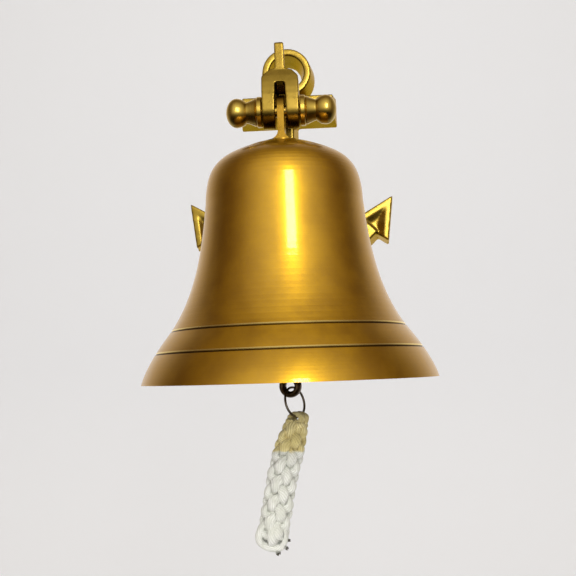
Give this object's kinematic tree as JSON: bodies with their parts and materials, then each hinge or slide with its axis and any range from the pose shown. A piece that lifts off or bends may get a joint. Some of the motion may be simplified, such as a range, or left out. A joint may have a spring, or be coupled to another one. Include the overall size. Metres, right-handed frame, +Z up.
{
  "type": "wall-mounted ship's bell",
  "caption": "Brass ship's bell hung on a knobbed hinge pin in a forked arm from an anchor-shaped wall plate, with a hanging clapper and a braided cord lanyard.",
  "frame": {"origin": "centre of the four wall screw holes, on the wall face", "axes": "+X to the bell's right along the hinge pin, +Y into the wall, +Z up"},
  "size_m": [0.152, 0.172, 0.2939],
  "materials": {
    "brass_bell": "satin, turned, lacquered",
    "brass_cast": "satin, fine sand-cast and hand-brushed",
    "brass_turned": "satin, turned",
    "brass_dark": "toned dark brown, satin",
    "steel": "dull steel wire",
    "cotton_cord": "off-white braided cotton cord"
  },
  "bodies": {
    "bracket": {"anchor_plate": "brass_cast", "bracket_arm": "brass_cast", "arm_screws": "steel"},
    "pin": {"hinge_pin": "brass_turned", "pin_end_knob": "brass_turned"},
    "bell": {"bell_shell": "brass_bell", "crown_lug": "brass_cast", "crown_washer": "brass_turned", "crown_nut": "brass_turned", "eye_nut": "brass_dark"},
    "link": {"clapper_link": "steel"},
    "clapper": {"clapper_rod": "brass_dark", "clapper_ball": "brass_dark", "clapper_tail_eye": "brass_dark"},
    "ring": {"lanyard_ring": "steel"},
    "lanyard": {"lanyard_eye": "cotton_cord", "lanyard_braid": "cotton_cord", "lanyard_end_knot": "cotton_cord"}
  },
  "joints": [
    {"name": "bell_swing", "type": "hinge", "parent": "bracket", "child": "bell", "pos_m": [0, -0.096, 0.0214], "axis": [1, 0, 0], "range_deg": [-40, 8]},
    {"name": "pin_spin", "type": "hinge", "parent": "bracket", "child": "pin", "pos_m": [0, -0.096, 0.0214], "axis": [1, 0, 0], "continuous": true},
    {"name": "clapper_side_swing", "type": "hinge", "parent": "bell", "child": "link", "pos_m": [0, -0.096, -0.0215], "axis": [0, 1, 0], "range_deg": [-12, 12]},
    {"name": "clapper_swing", "type": "hinge", "parent": "link", "child": "clapper", "pos_m": [0, -0.096, -0.0289], "axis": [1, 0, 0], "range_deg": [-28, 28]},
    {"name": "ring_swing", "type": "hinge", "parent": "clapper", "child": "ring", "pos_m": [0, -0.096, -0.1244], "axis": [0.5591, 0.8291, 0], "range_deg": [-15, 12]},
    {"name": "lanyard_swing", "type": "hinge", "parent": "ring", "child": "lanyard", "pos_m": [0.00399, -0.096, -0.13928], "axis": [1, 0, 0], "range_deg": [-15, 15]}
  ]
}
